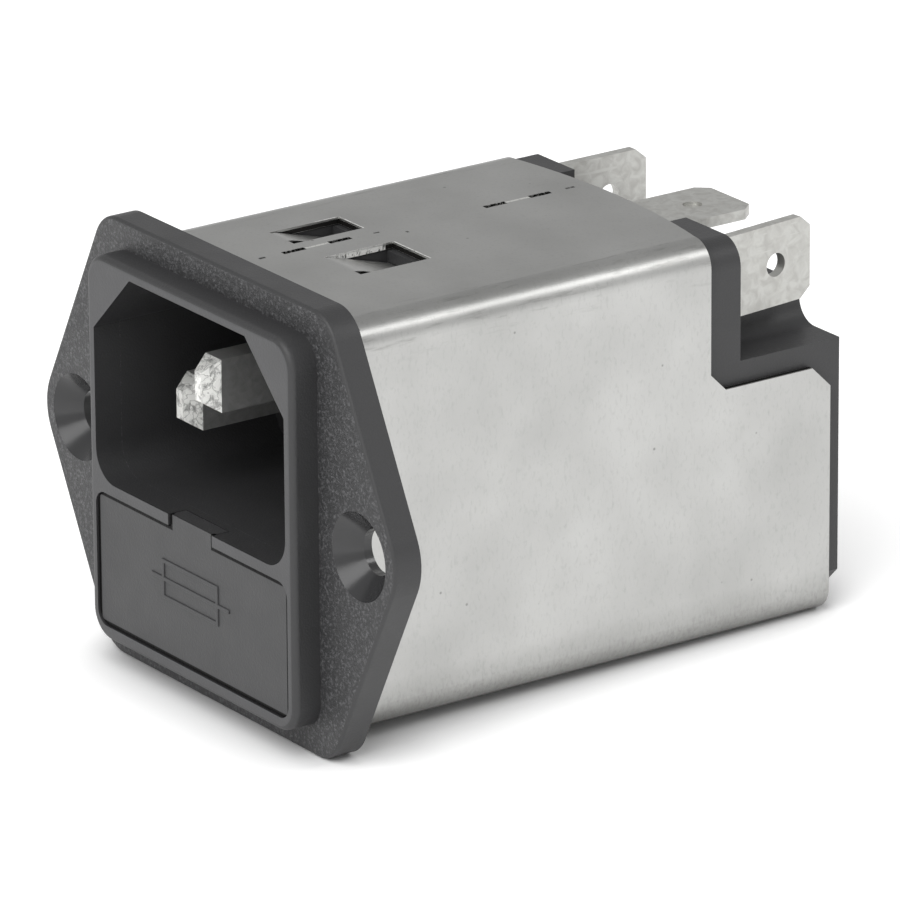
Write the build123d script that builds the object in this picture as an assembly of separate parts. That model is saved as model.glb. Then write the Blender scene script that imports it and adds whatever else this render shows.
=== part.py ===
from build123d import *
import math
import os

# Filtered mains inlet with a drawer for two fuses, made to be screwed to a panel.
# X runs across the inlet, +Y goes back into the equipment and +Z is up.
# The origin lies midway between the two fixing holes, on the panel side of the flange.
# All sizes are in millimetres.

# Fixing flange
hole_spacing = 36.0
hole_diameter = 3.4
countersink_diameter = 6.6
ear_radius = 4.4
flange_height = 33.6
flange_straight_width = 28.8
flange_corner_radius = 3.0
flange_thickness = 2.3
flange_edge_radius = 0.3

# Inlet cavity, which sets the width and the height of all that lies round it
cavity_width = 24.35
cavity_height = 16.35
cavity_depth = 15.6
cavity_chamfer = 4.8
cavity_corner_radius = 2.4
cavity_back_wall = 2.8

# Raised frame on the front of the flange
frame_side_wall = 0.925
frame_top_wall = 0.9
frame_bottom_wall = 1.06
frame_depth = 2.25
frame_corner_radius = 2.2
frame_edge_radius = 0.5

# Blade pins
pin_width = 2.0
pin_height = 4.0
pin_spacing = 14.0
live_pin_rise = 6.3
earth_pin_rise = 4.0
live_pin_recess = 3.9
earth_pin_recess = 0.9
pin_tip_length = 1.35
pin_tip_side_bevel = 0.6
pin_tip_top_bevel = 0.9
pin_tail = 2.2
pin_fit = 0.02

# Fuse drawer and the tunnel that it slides in
drawer_height = 10.1
drawer_side_wall = 0.78
drawer_gap = 0.12
drawer_bar = 0.85
drawer_corner_radius = 1.0
drawer_set_back = 0.15
drawer_plate_thickness = 1.95
pull_tab_width = 5.4
pull_tab_thickness = 1.3
tunnel_side_wall = 1.07
carrier_step = 0.45
carrier_gap = 0.15
carrier_wall = 1.3
carrier_end_wall = 1.0
slot_end_gap = 0.6
slot_end_wall = 1.4

# Cartridge fuses, five millimetres by twenty
fuse_length = 20.0
fuse_diameter = 5.2
fuse_cap_length = 5.0
fuse_cap_thickness = 0.3
fuse_glass_thickness = 0.5
fuse_wire_diameter = 0.3
fuse_side_gap = 1.6
fuse_clearance = 0.05

# Spring contacts of the fuses
clip_thickness = 0.35
clip_width = 1.7
clip_inset = 0.3
clip_gap = 0.1
clip_run = 1.9
clip_lip = 0.9
clip_lip_rise = 0.54
clip_tail_gap = 0.3

# Folded shield can
can_side_step = 0.2
can_top_step = 0.3
can_bottom_step = 1.0
can_length = 42.75
can_upper_length = 31.9
can_top_bow = 1.1
can_ledge_drop = 11.4
can_ledge_inner_chamfer = 1.35
can_ledge_outer_chamfer = 1.65
sheet_thickness = 0.5
bend_radius = 2.0
can_fit = 0.08
seam_x = -3.1
seam_slot_width = 0.3
seam_slot_length = 1.9
seam_slot_pitch = 4.0
front_seam_lock = 8.8
rear_seam_lock_inset = 5.4

# Windows in the top of the can, each with a long tongue bent down into a pocket of the moulding
window_front = 7.7
window_length = 6.0
left_window_x = -5.95
left_window_width = 3.1
right_window_x = 1.72
right_window_width = 4.65
tongue_far_gap = 0.2
tongue_near_gap = 0.8
tongue_radius = 2.0
tongue_angle = 15.5
tongue_length = 5.1
pocket_gap = 0.12
pocket_floor_gap = 0.1

# Rear insulator
cover_gap = 0.05
cover_wall = 1.5
cover_insertion = 1.7
cover_upper_step = 3.05
cover_lower_step = 1.2
cover_floor_rise = 1.7
cover_notch_x = -0.8
cover_notch_width = 13.8
cover_right_radius = 2.0
cover_left_radius = 0.5
cover_bevel = 2.5
hump_width = 15.8
hump_height = 2.9
hump_fillet = 2.1
hump_edge_radius = 1.0
hump_flat = 0.04

# Quick-connect tabs
tab_width = 6.3
tab_thickness = 0.8
line_tab_reach = 8.5
neutral_tab_reach = 8.15
earth_tab_reach = 8.55
tab_end_slope = 0.95
tab_end_bevel = 0.8
tab_hole_diameter = 1.8
tab_hole_inset = 3.4
tab_fit = 0.05
live_tab_inset = 0.95
live_tab_drop = 3.6
live_tab_leg_width = 2.6
live_tab_leg_inset = 2.85
live_tab_leg_rise = 1.25
line_tab_toe_angle = 6.0
earth_tab_drop = 1.7
earth_dimple_diameter = 1.45
earth_dimple_depth = 0.25
earth_dimple_inset = 3.45
earth_joggle_gap = 1.6
earth_foot_length = 4.0

# Filter board and what it carries
board_thickness = 1.6
board_side_gap = 0.25
board_front_gap = 0.45
board_rear_gap = 1.05
leg_fit = 0.1
leg_below_board = 0.6
pin_leg_length = 1.5
core_diameter = 11.0
core_bore = 6.0
core_height = 5.0
winding_thickness = 1.2
winding_corner = 0.7
winding_angle = 126.0
choke_front_gap = 0.75
capacitor_front_gap = 1.1
x_capacitor_width = 6.0
x_capacitor_length = 13.0
x_capacitor_floor_gap = 0.1
x_capacitor_side_gap = 1.5
x_capacitor_edge = 0.5
y_capacitor_diameter = 7.0
y_capacitor_thickness = 3.4
y_capacitor_edge = 0.8
y_capacitor_side_gap = 2.0
y_capacitor_pitch = 8.0
y_capacitor_standoff = 1.5
lead_diameter = 0.6
lead_flats = 8
lead_pitch = 5.0
resistor_diameter = 2.6
resistor_length = 7.0
resistor_edge = 0.4
resistor_lead_span = 10.0
resistor_gap = 0.3
resistor_lift = 0.4

# Earth strap from the pin to the can
strap_thickness = 0.5
strap_width = 4.0
strap_foot = 3.0

# Places and sizes that follow from the values above, from the front to the back
front_y = -flange_thickness - frame_depth
hole_x = hole_spacing / 2
frame_width = cavity_width + 2 * frame_side_wall
drawer_recess_height = drawer_height + 2 * drawer_gap
frame_height = frame_top_wall + cavity_height + drawer_bar + drawer_recess_height + frame_bottom_wall
cavity_top = frame_height / 2 - frame_top_wall
cavity_bottom = cavity_top - cavity_height
cavity_back = front_y + cavity_depth
body_back = cavity_back + cavity_back_wall
live_pin_x = pin_spacing / 2
live_pin_z = cavity_bottom + live_pin_rise
live_pin_back = body_back + pin_tail
earth_pin_z = live_pin_z + earth_pin_rise

can_width = frame_width + 2 * can_side_step
can_top = frame_height / 2 + can_top_step
can_low = -frame_height / 2 - can_bottom_step
can_middle = (can_top + can_low) / 2
can_height = can_top - can_low
can_inner_top = can_top - sheet_thickness
can_ledge = can_top - can_ledge_drop
inner_width = can_width - 2 * sheet_thickness - 2 * can_fit
inner_height = can_height - 2 * sheet_thickness - 2 * can_fit
inner_radius = bend_radius - sheet_thickness

recess_top = cavity_bottom - drawer_bar
drawer_top = recess_top - drawer_gap
drawer_z = drawer_top - drawer_height / 2
drawer_recess_width = frame_width - 2 * drawer_side_wall
drawer_width = drawer_recess_width - 2 * drawer_gap
slot_width = inner_width - 2 * tunnel_side_wall
carrier_width = slot_width - 2 * carrier_gap
carrier_height = drawer_height - 2 * carrier_step
slot_top = drawer_z + carrier_height / 2 + carrier_gap
plate_front = front_y + drawer_set_back
plate_back = plate_front + drawer_plate_thickness
fuse_x = carrier_width / 2 - carrier_wall - fuse_side_gap - fuse_diameter / 2
fuse_front = plate_back + fuse_clearance
fuse_back = fuse_front + fuse_length
carrier_back = fuse_back + fuse_clearance + carrier_end_wall
slot_back = carrier_back + slot_end_gap
drawer_body_back = slot_back + slot_end_wall
clip_tail_front = drawer_body_back + clip_tail_gap

cover_width = can_width - 2 * sheet_thickness - 2 * cover_gap
cover_inner_width = cover_width - 2 * cover_wall
cover_top = can_inner_top - cover_gap
cover_low = can_low + sheet_thickness + cover_gap
cover_hollow_low = cover_low + cover_wall
cover_hollow_bevel = cover_bevel - cover_wall * (2 - math.sqrt(2))
cover_front = can_upper_length - cover_insertion
cover_upper_rear = can_upper_length + cover_upper_step
cover_lower_rear = can_length + cover_lower_step
cover_floor_z = can_ledge + cover_floor_rise
live_tab_x = cover_inner_width / 2 - live_tab_inset
live_tab_z = can_inner_top - live_tab_drop
live_tab_leg_front = cover_upper_rear - cover_wall - live_tab_leg_inset
earth_tab_top = can_inner_top - earth_tab_drop
earth_tab_low = earth_tab_top - tab_thickness
earth_tab_end = cover_upper_rear + earth_tab_reach
earth_tab_joggle = cover_front - earth_joggle_gap

board_low = cavity_bottom
board_top = board_low + board_thickness
board_width = cover_inner_width - 2 * board_side_gap
board_front = body_back + board_front_gap
board_rear = cover_lower_rear - cover_wall - board_rear_gap
choke_radius = core_diameter / 2 + winding_thickness
choke_y = body_back + choke_front_gap + choke_radius
resistor_y = choke_y + choke_radius + resistor_gap + resistor_diameter / 2
capacitor_front = drawer_body_back + capacitor_front_gap


def prism(outline, y_front, y_back):
    """Extrudes an outline drawn across the inlet from one depth to another."""
    return Pos(0, y_back, 0) * extrude(Plane.XZ * outline, amount=y_back - y_front)


def block(x_low, x_high, y_low, y_high, z_low, z_high):
    """Makes a plain block between two corners."""
    size = (x_high - x_low, y_high - y_low, z_high - z_low)
    centre = ((x_low + x_high) / 2, (y_low + y_high) / 2, (z_low + z_high) / 2)
    return Pos(*centre) * Box(*size)


def side_profile(points, x_low, x_high):
    """Extrudes an outline drawn on the side of the part across its width."""
    face = make_face(Polyline(*points, close=True))
    return Pos(x_low, 0, 0) * extrude(Plane.YZ * face, amount=x_high - x_low)


def top_profile(points, z_low, z_high):
    """Extrudes an outline seen from above from one height to another."""
    face = make_face(Polyline(*points, close=True))
    return Pos(0, 0, z_low) * extrude(face, amount=z_high - z_low)


def flange_outline():
    """Six-sided flange whose slanted sides run tangent to the round ears."""
    half_height = flange_height / 2
    half_straight = flange_straight_width / 2
    to_ear = math.hypot(half_height, hole_x - half_straight)
    slant = math.asin(ear_radius / to_ear) + math.atan2(hole_x - half_straight, half_height)
    apex = hole_x + ear_radius / math.cos(slant)
    outline = make_face(Polyline(
        (-half_straight, half_height), (half_straight, half_height), (apex, 0),
        (half_straight, -half_height), (-half_straight, -half_height), (-apex, 0), close=True))
    corners = outline.vertices().sort_by(Axis.X)
    outline = fillet(corners[1:-1], flange_corner_radius)
    ears = outline.vertices().sort_by(Axis.X)
    return fillet([ears[0], ears[-1]], ear_radius)


def cavity_outline(margin=0):
    """Inlet opening with two slanted upper corners and two round lower ones."""
    half = cavity_width / 2 + margin
    top = cavity_top + margin
    bottom = cavity_bottom - margin
    outline = make_face(Polyline(
        (-half, bottom), (half, bottom), (half, top - cavity_chamfer), (half - cavity_chamfer, top),
        (-half + cavity_chamfer, top), (-half, top - cavity_chamfer), close=True))
    return fillet(outline.vertices().sort_by(Axis.Y)[:2], cavity_corner_radius + margin)


def pin_places():
    """Gives the X and Z of each pin."""
    return [(live_pin_x, live_pin_z), (-live_pin_x, live_pin_z), (0, earth_pin_z)]


def windows():
    """Gives the middle and the width of each window in the top of the can."""
    return [(left_window_x, left_window_width), (right_window_x, right_window_width)]


def tongues():
    """Gives the two sides of each window's tongue, which is cut free of the sheet at both."""
    return [(x - width / 2 + tongue_far_gap, x + width / 2 - tongue_near_gap) for x, width in windows()]


def tongue_end():
    """Gives the depth that the free end of a tongue reaches."""
    angle = math.radians(tongue_angle)
    return window_front + tongue_radius * math.sin(angle) + tongue_length * math.cos(angle)


def clip_places():
    """Gives the name and X of each fuse contact, and the depth where it touches its cap."""
    places = []
    for side, sign in (("line", 1), ("neutral", -1)):
        inner = sign * (fuse_x - clip_inset - clip_width / 2)
        outer = sign * (fuse_x + clip_inset + clip_width / 2)
        places.append((side + "_front_clip", inner, fuse_front + fuse_cap_length / 2))
        places.append((side + "_rear_clip", outer, fuse_back - fuse_cap_length / 2))
    return places


def front_housing():
    """One black moulding: flange, raised frame, inlet socket and drawer tunnel."""
    flange = prism(flange_outline(), -flange_thickness, 0)
    front_edges = flange.edges().group_by(Axis.Y)[0]
    flange = fillet(front_edges, flange_edge_radius)
    frame = prism(RectangleRounded(frame_width, frame_height, frame_corner_radius), front_y, 0)
    frame = fillet(frame.edges().group_by(Axis.Y)[0], frame_edge_radius)
    inner = Pos(0, can_middle) * RectangleRounded(inner_width, inner_height, inner_radius - can_fit)
    socket = prism(inner, 0, body_back)
    tunnel = prism(inner, 0, drawer_body_back)
    tunnel &= block(-inner_width, inner_width, 0, drawer_body_back, -inner_height, cavity_bottom)
    body = flange + frame + socket + tunnel

    body -= prism(cavity_outline(), front_y, cavity_back)
    body -= prism(Pos(0, drawer_z) * RectangleRounded(
        drawer_recess_width, drawer_recess_height, drawer_corner_radius + drawer_gap), front_y, plate_back)
    half_notch = pull_tab_width / 2 + drawer_gap
    body -= block(-half_notch, half_notch, front_y, plate_front + pull_tab_thickness + drawer_gap,
                  recess_top - drawer_gap, cavity_bottom)
    body -= prism(Pos(0, drawer_z) * Rectangle(slot_width, carrier_height + 2 * carrier_gap),
                  plate_back, slot_back)

    for x, z in pin_places():
        slot = Pos(x, z) * Rectangle(pin_width + 2 * pin_fit, pin_height + 2 * pin_fit)
        body -= prism(slot, cavity_back, body_back)
    for _, x, _ in clip_places():
        half_slot = clip_width / 2 + pin_fit
        body -= block(x - half_slot, x + half_slot, slot_back, drawer_body_back,
                      slot_top - clip_thickness - pin_fit, slot_top)

    sink = (countersink_diameter - hole_diameter) / 2
    for side in (-1, 1):
        body -= prism(Pos(side * hole_x, 0) * Circle(hole_diameter / 2), -flange_thickness, 0)
        cone = Cone(countersink_diameter / 2, hole_diameter / 2, sink,
                    align=(Align.CENTER, Align.CENTER, Align.MIN))
        body -= Pos(side * hole_x, -flange_thickness, 0) * Rot(-90, 0, 0) * cone

    dip = tongue_radius - math.cos(math.radians(tongue_angle)) * (tongue_radius - sheet_thickness)
    dip += math.sin(math.radians(tongue_angle)) * tongue_length
    for x, width in windows():
        half_pocket = width / 2 + pocket_gap
        body -= block(x - half_pocket, x + half_pocket, window_front - pocket_gap,
                      tongue_end() + pocket_gap, can_top - dip - pocket_floor_gap, can_top)
    return body


def tongue(x_low, x_high):
    """Tongue of the can's sheet, bent down from the front edge of its window."""
    centre_z = can_top - tongue_radius
    section = Plane((0, window_front, 0), x_dir=(1, 0, 0), z_dir=(0, -1, 0)) * (
        Pos((x_low + x_high) / 2, can_top - sheet_thickness / 2) * Rectangle(x_high - x_low, sheet_thickness))
    bend = revolve(section, axis=Axis((0, window_front, centre_z), (-1, 0, 0)), revolution_arc=tongue_angle)
    flat = block(x_low, x_high, 0, tongue_length, tongue_radius - sheet_thickness, tongue_radius)
    return bend + Pos(0, window_front, centre_z) * Rot(-tongue_angle, 0, 0) * flat


def shield_can():
    """Tinned steel sheet folded into a tube, with two seam locks on its top."""
    outside = RectangleRounded(can_width, can_height, bend_radius)
    inside = RectangleRounded(can_width - 2 * sheet_thickness, can_height - 2 * sheet_thickness, inner_radius)
    can = prism(Pos(0, can_middle) * (outside - inside), 0, can_length)
    can -= side_profile([
        (can_upper_length, can_height), (can_upper_length, can_ledge + can_ledge_inner_chamfer),
        (can_upper_length + can_ledge_inner_chamfer, can_ledge),
        (can_length - can_ledge_outer_chamfer, can_ledge),
        (can_length + can_ledge_outer_chamfer, can_ledge - 2 * can_ledge_outer_chamfer),
        (can_length + can_ledge_outer_chamfer, can_height)], -can_width, can_width)
    half_flat = can_width / 2 - bend_radius
    left, right = (-half_flat, can_upper_length), (half_flat, can_upper_length)
    bow = make_face([ThreePointArc(left, (0, can_upper_length + can_top_bow), right), Line(right, left)])
    can += Pos(0, 0, can_inner_top) * extrude(bow, amount=sheet_thickness, dir=(0, 0, 1))
    for x, width in windows():
        can -= block(x - width / 2, x + width / 2, window_front, window_front + window_length, 0, can_height)
    for low, high in tongues():
        can += tongue(low, high)
    for lock in (front_seam_lock, can_upper_length - rear_seam_lock_inset):
        for step in (-seam_slot_pitch / 2, seam_slot_pitch / 2):
            slot_front = lock + step - seam_slot_length / 2
            can -= block(seam_x - seam_slot_width / 2, seam_x + seam_slot_width / 2,
                         slot_front, slot_front + seam_slot_length, 0, can_height)
    return can


def cover_outline(width, low, high, bevel):
    """Upright outline with two bevelled lower corners."""
    half = width / 2
    return make_face(Polyline(
        (-half + bevel, low), (half - bevel, low), (half, low + bevel), (half, high), (-half, high),
        (-half, low + bevel), close=True))


def rounded_top(outline, left_radius, right_radius):
    """Rounds the two upper corners of an upright outline."""
    outline = fillet(outline.vertices().group_by(Axis.Y)[-1].sort_by(Axis.X)[0], left_radius)
    return fillet(outline.vertices().group_by(Axis.Y)[-1].sort_by(Axis.X)[-1], right_radius)


def rear_insulator():
    """Stepped black cover that closes the back of the can and holds the tabs apart."""
    full = cover_outline(cover_width, cover_low, cover_top, cover_bevel)
    cover = prism(rounded_top(full, cover_right_radius, cover_right_radius), cover_front, can_upper_length)
    cover += prism(rounded_top(full, cover_left_radius, cover_right_radius), can_upper_length,
                   cover_upper_rear)
    cover += prism(cover_outline(cover_width, cover_low, cover_floor_z, cover_bevel),
                   cover_front, cover_lower_rear)

    half_base = hump_width / 2 + hump_fillet
    crest = cover_floor_z + hump_height
    hump = make_face(Polyline(
        (-half_base, cover_floor_z - cover_wall), (half_base, cover_floor_z - cover_wall),
        (half_base, cover_floor_z), (hump_width / 2, cover_floor_z), (hump_width / 2, crest),
        (-hump_width / 2, crest), (-hump_width / 2, cover_floor_z), (-half_base, cover_floor_z), close=True))
    hump = fillet(hump.vertices().group_by(Axis.Y)[-1], hump_edge_radius)
    roots = hump.vertices().group_by(Axis.Y)[1].sort_by(Axis.X)[1:-1]
    hump = fillet(roots, min(hump_fillet, hump_height - hump_edge_radius) - hump_flat)
    cover += prism(hump, cover_upper_rear - cover_wall, cover_lower_rear)

    for ceiling, rear in ((cover_top, cover_upper_rear), (cover_floor_z, cover_lower_rear)):
        hollow = cover_outline(cover_inner_width, cover_hollow_low, ceiling - cover_wall, cover_hollow_bevel)
        cover -= prism(hollow, cover_front, rear - cover_wall)
    cover -= block(cover_notch_x - cover_notch_width / 2, cover_notch_x + cover_notch_width / 2,
                   cover_front, cover_upper_rear, earth_tab_low - tab_fit, cover_top)
    for side in (-1, 1):
        x = side * live_tab_x
        half = tab_thickness / 2 + tab_fit
        cover -= block(x - half, x + half, cover_upper_rear - cover_wall, cover_upper_rear,
                       live_tab_z - tab_width / 2 - tab_fit, live_tab_z + tab_width / 2 + tab_fit)
    return cover


def blade_pin(x, z, recess, back):
    """Inlet blade with a bevelled tip, drawn to its back end."""
    tip = front_y + recess
    shoulder = tip + pin_tip_length
    left, right = x - pin_width / 2, x + pin_width / 2
    low, high = z - pin_height / 2, z + pin_height / 2
    blade = top_profile([
        (left + pin_tip_side_bevel, tip), (right - pin_tip_side_bevel, tip), (right, shoulder), (right, back),
        (left, back), (left, shoulder)], low, high)
    blade &= side_profile([
        (tip, low + pin_tip_top_bevel), (tip, high - pin_tip_top_bevel), (shoulder, high), (back, high),
        (back, low), (shoulder, low)], left, right)
    return blade


def live_pin(x):
    """Line or neutral pin, with a leg that goes down into the board."""
    leg = block(x - pin_width / 2, x + pin_width / 2, live_pin_back - pin_leg_length, live_pin_back,
                board_low, live_pin_z)
    return blade_pin(x, live_pin_z, live_pin_recess, live_pin_back) + leg


def earth_strap():
    """Bent strip that joins the earth pin to the underside of the can's top."""
    back = body_back + strap_thickness
    half = strap_width / 2
    riser = block(-half, half, body_back, back, earth_pin_z - pin_height / 2, can_inner_top)
    foot = block(-half, half, body_back, back + strap_foot, can_inner_top - strap_thickness, can_inner_top)
    return riser + foot


def live_tab(x, reach, toe):
    """Upright quick-connect tab with a leg down to the board, turned inwards behind the cover."""
    top = live_tab_z + tab_width / 2
    bottom = live_tab_z - tab_width / 2
    leg_top = live_tab_z + live_tab_leg_rise
    leg_back = live_tab_leg_front + live_tab_leg_width
    leg_bottom = board_low - leg_below_board
    shoulder = cover_upper_rear - cover_wall
    half = tab_thickness / 2
    root = side_profile([
        (live_tab_leg_front, leg_top), (shoulder, leg_top), (shoulder, top), (cover_upper_rear, top),
        (cover_upper_rear, bottom), (leg_back, bottom), (leg_back, leg_bottom),
        (live_tab_leg_front, leg_bottom)], x - half, x + half)
    blade = side_profile([
        (0, top), (reach - tab_end_slope, top), (reach, top - tab_end_bevel),
        (reach, bottom + tab_end_bevel), (reach - tab_end_slope, bottom), (0, bottom)], -half, half)
    blade -= Pos(0, reach - tab_hole_inset, live_tab_z) * Rot(0, 90, 0) * Cylinder(
        tab_hole_diameter / 2, 2 * tab_thickness)
    bend = Pos(0, 0, live_tab_z) * Cylinder(half, tab_width)
    return root + Pos(x, cover_upper_rear, 0) * Rot(0, 0, toe) * (blade + bend)


def earth_tab():
    """Flat quick-connect tab with a dimple, stepped up to lie against the top of the can."""
    half = tab_width / 2
    shoulder = earth_tab_end - tab_end_slope
    tab = top_profile([
        (-half, earth_tab_joggle), (half, earth_tab_joggle), (half, shoulder),
        (half - tab_end_bevel, earth_tab_end), (-half + tab_end_bevel, earth_tab_end), (-half, shoulder)],
        earth_tab_low, earth_tab_top)
    tab -= Pos(0, earth_tab_end - earth_dimple_inset, earth_tab_top) * Cylinder(
        earth_dimple_diameter / 2, 2 * earth_dimple_depth)
    riser_front = earth_tab_joggle - tab_thickness
    tab += block(-half, half, riser_front, earth_tab_joggle, earth_tab_low, can_inner_top)
    tab += block(-half, half, riser_front - earth_foot_length, earth_tab_joggle,
                 can_inner_top - tab_thickness, can_inner_top)
    return tab


def fuse_drawer():
    """Front plate with its pull tab, and the carrier with two round troughs."""
    plate = prism(Pos(0, drawer_z) * RectangleRounded(drawer_width, drawer_height, drawer_corner_radius),
                  plate_front, plate_back)
    half_tab = pull_tab_width / 2
    plate += block(-half_tab, half_tab, plate_front, plate_front + pull_tab_thickness,
                   drawer_top - drawer_corner_radius, cavity_bottom)
    floor = drawer_z - carrier_height / 2
    half = carrier_width / 2
    carrier = block(-half, half, plate_back, carrier_back, floor, drawer_z)
    trough_radius = fuse_diameter / 2 + fuse_clearance
    for side in (-1, 1):
        x = side * fuse_x
        trough = prism(Pos(x, drawer_z) * Circle(trough_radius), plate_back, carrier_back - carrier_end_wall)
        carrier -= trough
        rail_inner = half - carrier_wall
        carrier += block(min(side * rail_inner, side * half), max(side * rail_inner, side * half),
                         plate_back, carrier_back, floor, drawer_z + carrier_height / 2)
    carrier += block(-carrier_wall / 2, carrier_wall / 2, plate_back, carrier_back, drawer_z,
                     drawer_z + fuse_diameter / 2)
    return plate + carrier


def fuse(side):
    """Glass tube, two pressed caps and the wire of one fuse, as three parts."""
    x = side * fuse_x
    radius = fuse_diameter / 2
    tube_radius = radius - fuse_cap_thickness
    bore = tube_radius - fuse_glass_thickness
    low = fuse_front + fuse_cap_thickness
    high = fuse_back - fuse_cap_thickness
    here = Pos(x, drawer_z)
    tube = prism(here * (Circle(tube_radius) - Circle(bore)), low, high)
    front_cap = prism(here * Circle(radius), fuse_front, fuse_front + fuse_cap_length)
    front_cap -= prism(here * Circle(tube_radius), low, fuse_front + fuse_cap_length)
    rear_cap = prism(here * Circle(radius), fuse_back - fuse_cap_length, fuse_back)
    rear_cap -= prism(here * Circle(tube_radius), fuse_back - fuse_cap_length, high)
    wire = prism(here * Circle(fuse_wire_diameter / 2), low, high)
    return tube, Compound(children=[front_cap, rear_cap]), wire


def fuse_clip(x, touch_y):
    """Springy strip along the tunnel roof that dips to a fuse cap, with a tail up to the board."""
    low = drawer_z + fuse_diameter / 2 + clip_gap
    high = slot_top - clip_thickness
    tail_back = clip_tail_front + clip_thickness
    return side_profile([
        (clip_tail_front, board_top), (clip_tail_front, slot_top), (touch_y + clip_run, slot_top),
        (touch_y, low + clip_thickness), (touch_y - clip_lip, low + clip_thickness + clip_lip_rise),
        (touch_y - clip_lip, low + clip_lip_rise), (touch_y, low), (touch_y + clip_run, high),
        (tail_back, high), (tail_back, board_top)], x - clip_width / 2, x + clip_width / 2)


def filter_board():
    """Small circuit board on the drawer tunnel, with slots for the pins, tabs and clips."""
    board = block(-board_width / 2, board_width / 2, board_front, board_rear, board_low, board_top)
    legs = [(x, clip_width, clip_tail_front, clip_thickness) for _, x, _ in clip_places()]
    for side in (-1, 1):
        legs.append((side * live_pin_x, pin_width, live_pin_back - pin_leg_length, pin_leg_length))
        legs.append((side * live_tab_x, tab_thickness, live_tab_leg_front, live_tab_leg_width))
    for x, width, front, length in legs:
        half = width / 2 + leg_fit
        board -= block(x - half, x + half, front - leg_fit, front + length + leg_fit, board_low, board_top)
    return board


def choke_core():
    """Ferrite ring that lies flat above the board."""
    z = board_top + winding_thickness + core_height / 2
    ring = Cylinder(core_diameter / 2, core_height) - Cylinder(core_bore / 2, core_height)
    return Pos(0, choke_y, z) * ring


def choke_winding(side):
    """One winding, drawn as the closed sleeve that its turns make round the core."""
    height = core_height + 2 * winding_thickness
    inner = core_bore / 2 - winding_thickness
    section = chamfer(Rectangle(choke_radius - inner, height).vertices(), winding_corner)
    section = Pos((choke_radius + inner) / 2, height / 2) * (
        section - Rectangle((core_diameter - core_bore) / 2, core_height))
    sleeve = revolve(Plane.XZ * section, axis=Axis.Z, revolution_arc=winding_angle)
    turn = -winding_angle / 2 if side > 0 else 180 - winding_angle / 2
    return Pos(0, choke_y, board_top) * Rot(0, 0, turn) * sleeve


def x_capacitor():
    """Boxed film capacitor under the board."""
    x_low = -board_width / 2 + x_capacitor_side_gap
    box = block(x_low, x_low + x_capacitor_width, capacitor_front, capacitor_front + x_capacitor_length,
                cover_hollow_low + x_capacitor_floor_gap, board_low)
    return fillet(box.edges().filter_by(Axis.Z), x_capacitor_edge)


def lead(start, length):
    """Straight wire drawn with flats, running up from a point."""
    return Pos(*start) * extrude(RegularPolygon(lead_diameter / 2, lead_flats), amount=length)


def y_capacitor(step):
    """Dipped ceramic disc with two straight leads up to the board."""
    radius = y_capacitor_diameter / 2
    x = board_width / 2 - y_capacitor_side_gap - radius
    y = capacitor_front + y_capacitor_thickness / 2 + step * y_capacitor_pitch
    z = board_low - y_capacitor_standoff - radius
    disc = Rot(90, 0, 0) * Cylinder(radius, y_capacitor_thickness)
    body = Pos(x, y, z) * chamfer(disc.edges().filter_by(GeomType.CIRCLE), y_capacitor_edge)
    for side in (-1, 1):
        body += lead((x + side * lead_pitch / 2, y, z), board_low - z)
    return body


def discharge_resistor():
    """Axial resistor lying across the board on its bent leads."""
    radius = resistor_diameter / 2
    z = board_top + resistor_lift + radius
    body = Rot(0, 90, 0) * Cylinder(radius, resistor_length)
    part = Pos(0, resistor_y, z) * chamfer(body.edges().filter_by(GeomType.CIRCLE), resistor_edge)
    half_span = resistor_lead_span / 2
    part += Pos(0, resistor_y, z) * Rot(0, 90, 0) * lead((0, 0, -half_span), resistor_lead_span)
    for side in (-1, 1):
        x = side * (half_span - lead_diameter / 2)
        part += lead((x, resistor_y, board_top), z - board_top)
    return part


os.makedirs("parts", exist_ok=True)

parts = {
    "front_housing": front_housing(),
    "shield_can": shield_can(),
    "rear_insulator": rear_insulator(),
    "line_pin": live_pin(live_pin_x),
    "neutral_pin": live_pin(-live_pin_x),
    "earth_pin": blade_pin(0, earth_pin_z, earth_pin_recess, body_back),
    "earth_strap": earth_strap(),
    "line_tab": live_tab(live_tab_x, line_tab_reach, line_tab_toe_angle),
    "neutral_tab": live_tab(-live_tab_x, neutral_tab_reach, 0),
    "earth_tab": earth_tab(),
    "fuse_drawer": fuse_drawer(),
    "filter_board": filter_board(),
    "choke_core": choke_core(),
    "line_winding": choke_winding(1),
    "neutral_winding": choke_winding(-1),
    "x_capacitor": x_capacitor(),
    "line_y_capacitor": y_capacitor(0),
    "neutral_y_capacitor": y_capacitor(1),
    "discharge_resistor": discharge_resistor(),
}
for clip_name, clip_x, clip_touch in clip_places():
    parts[clip_name] = fuse_clip(clip_x, clip_touch)
for fuse_name, fuse_side in (("line", 1), ("neutral", -1)):
    tube, caps, wire = fuse(fuse_side)
    parts[fuse_name + "_fuse_tube"] = tube
    parts[fuse_name + "_fuse_caps"] = caps
    parts[fuse_name + "_fuse_wire"] = wire

for node, shape in parts.items():
    export_step(shape, "parts/" + node + ".step")
    print(node, round(shape.volume, 2))
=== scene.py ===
import math

import bmesh
import bpy
from mathutils import Matrix, Vector


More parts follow.
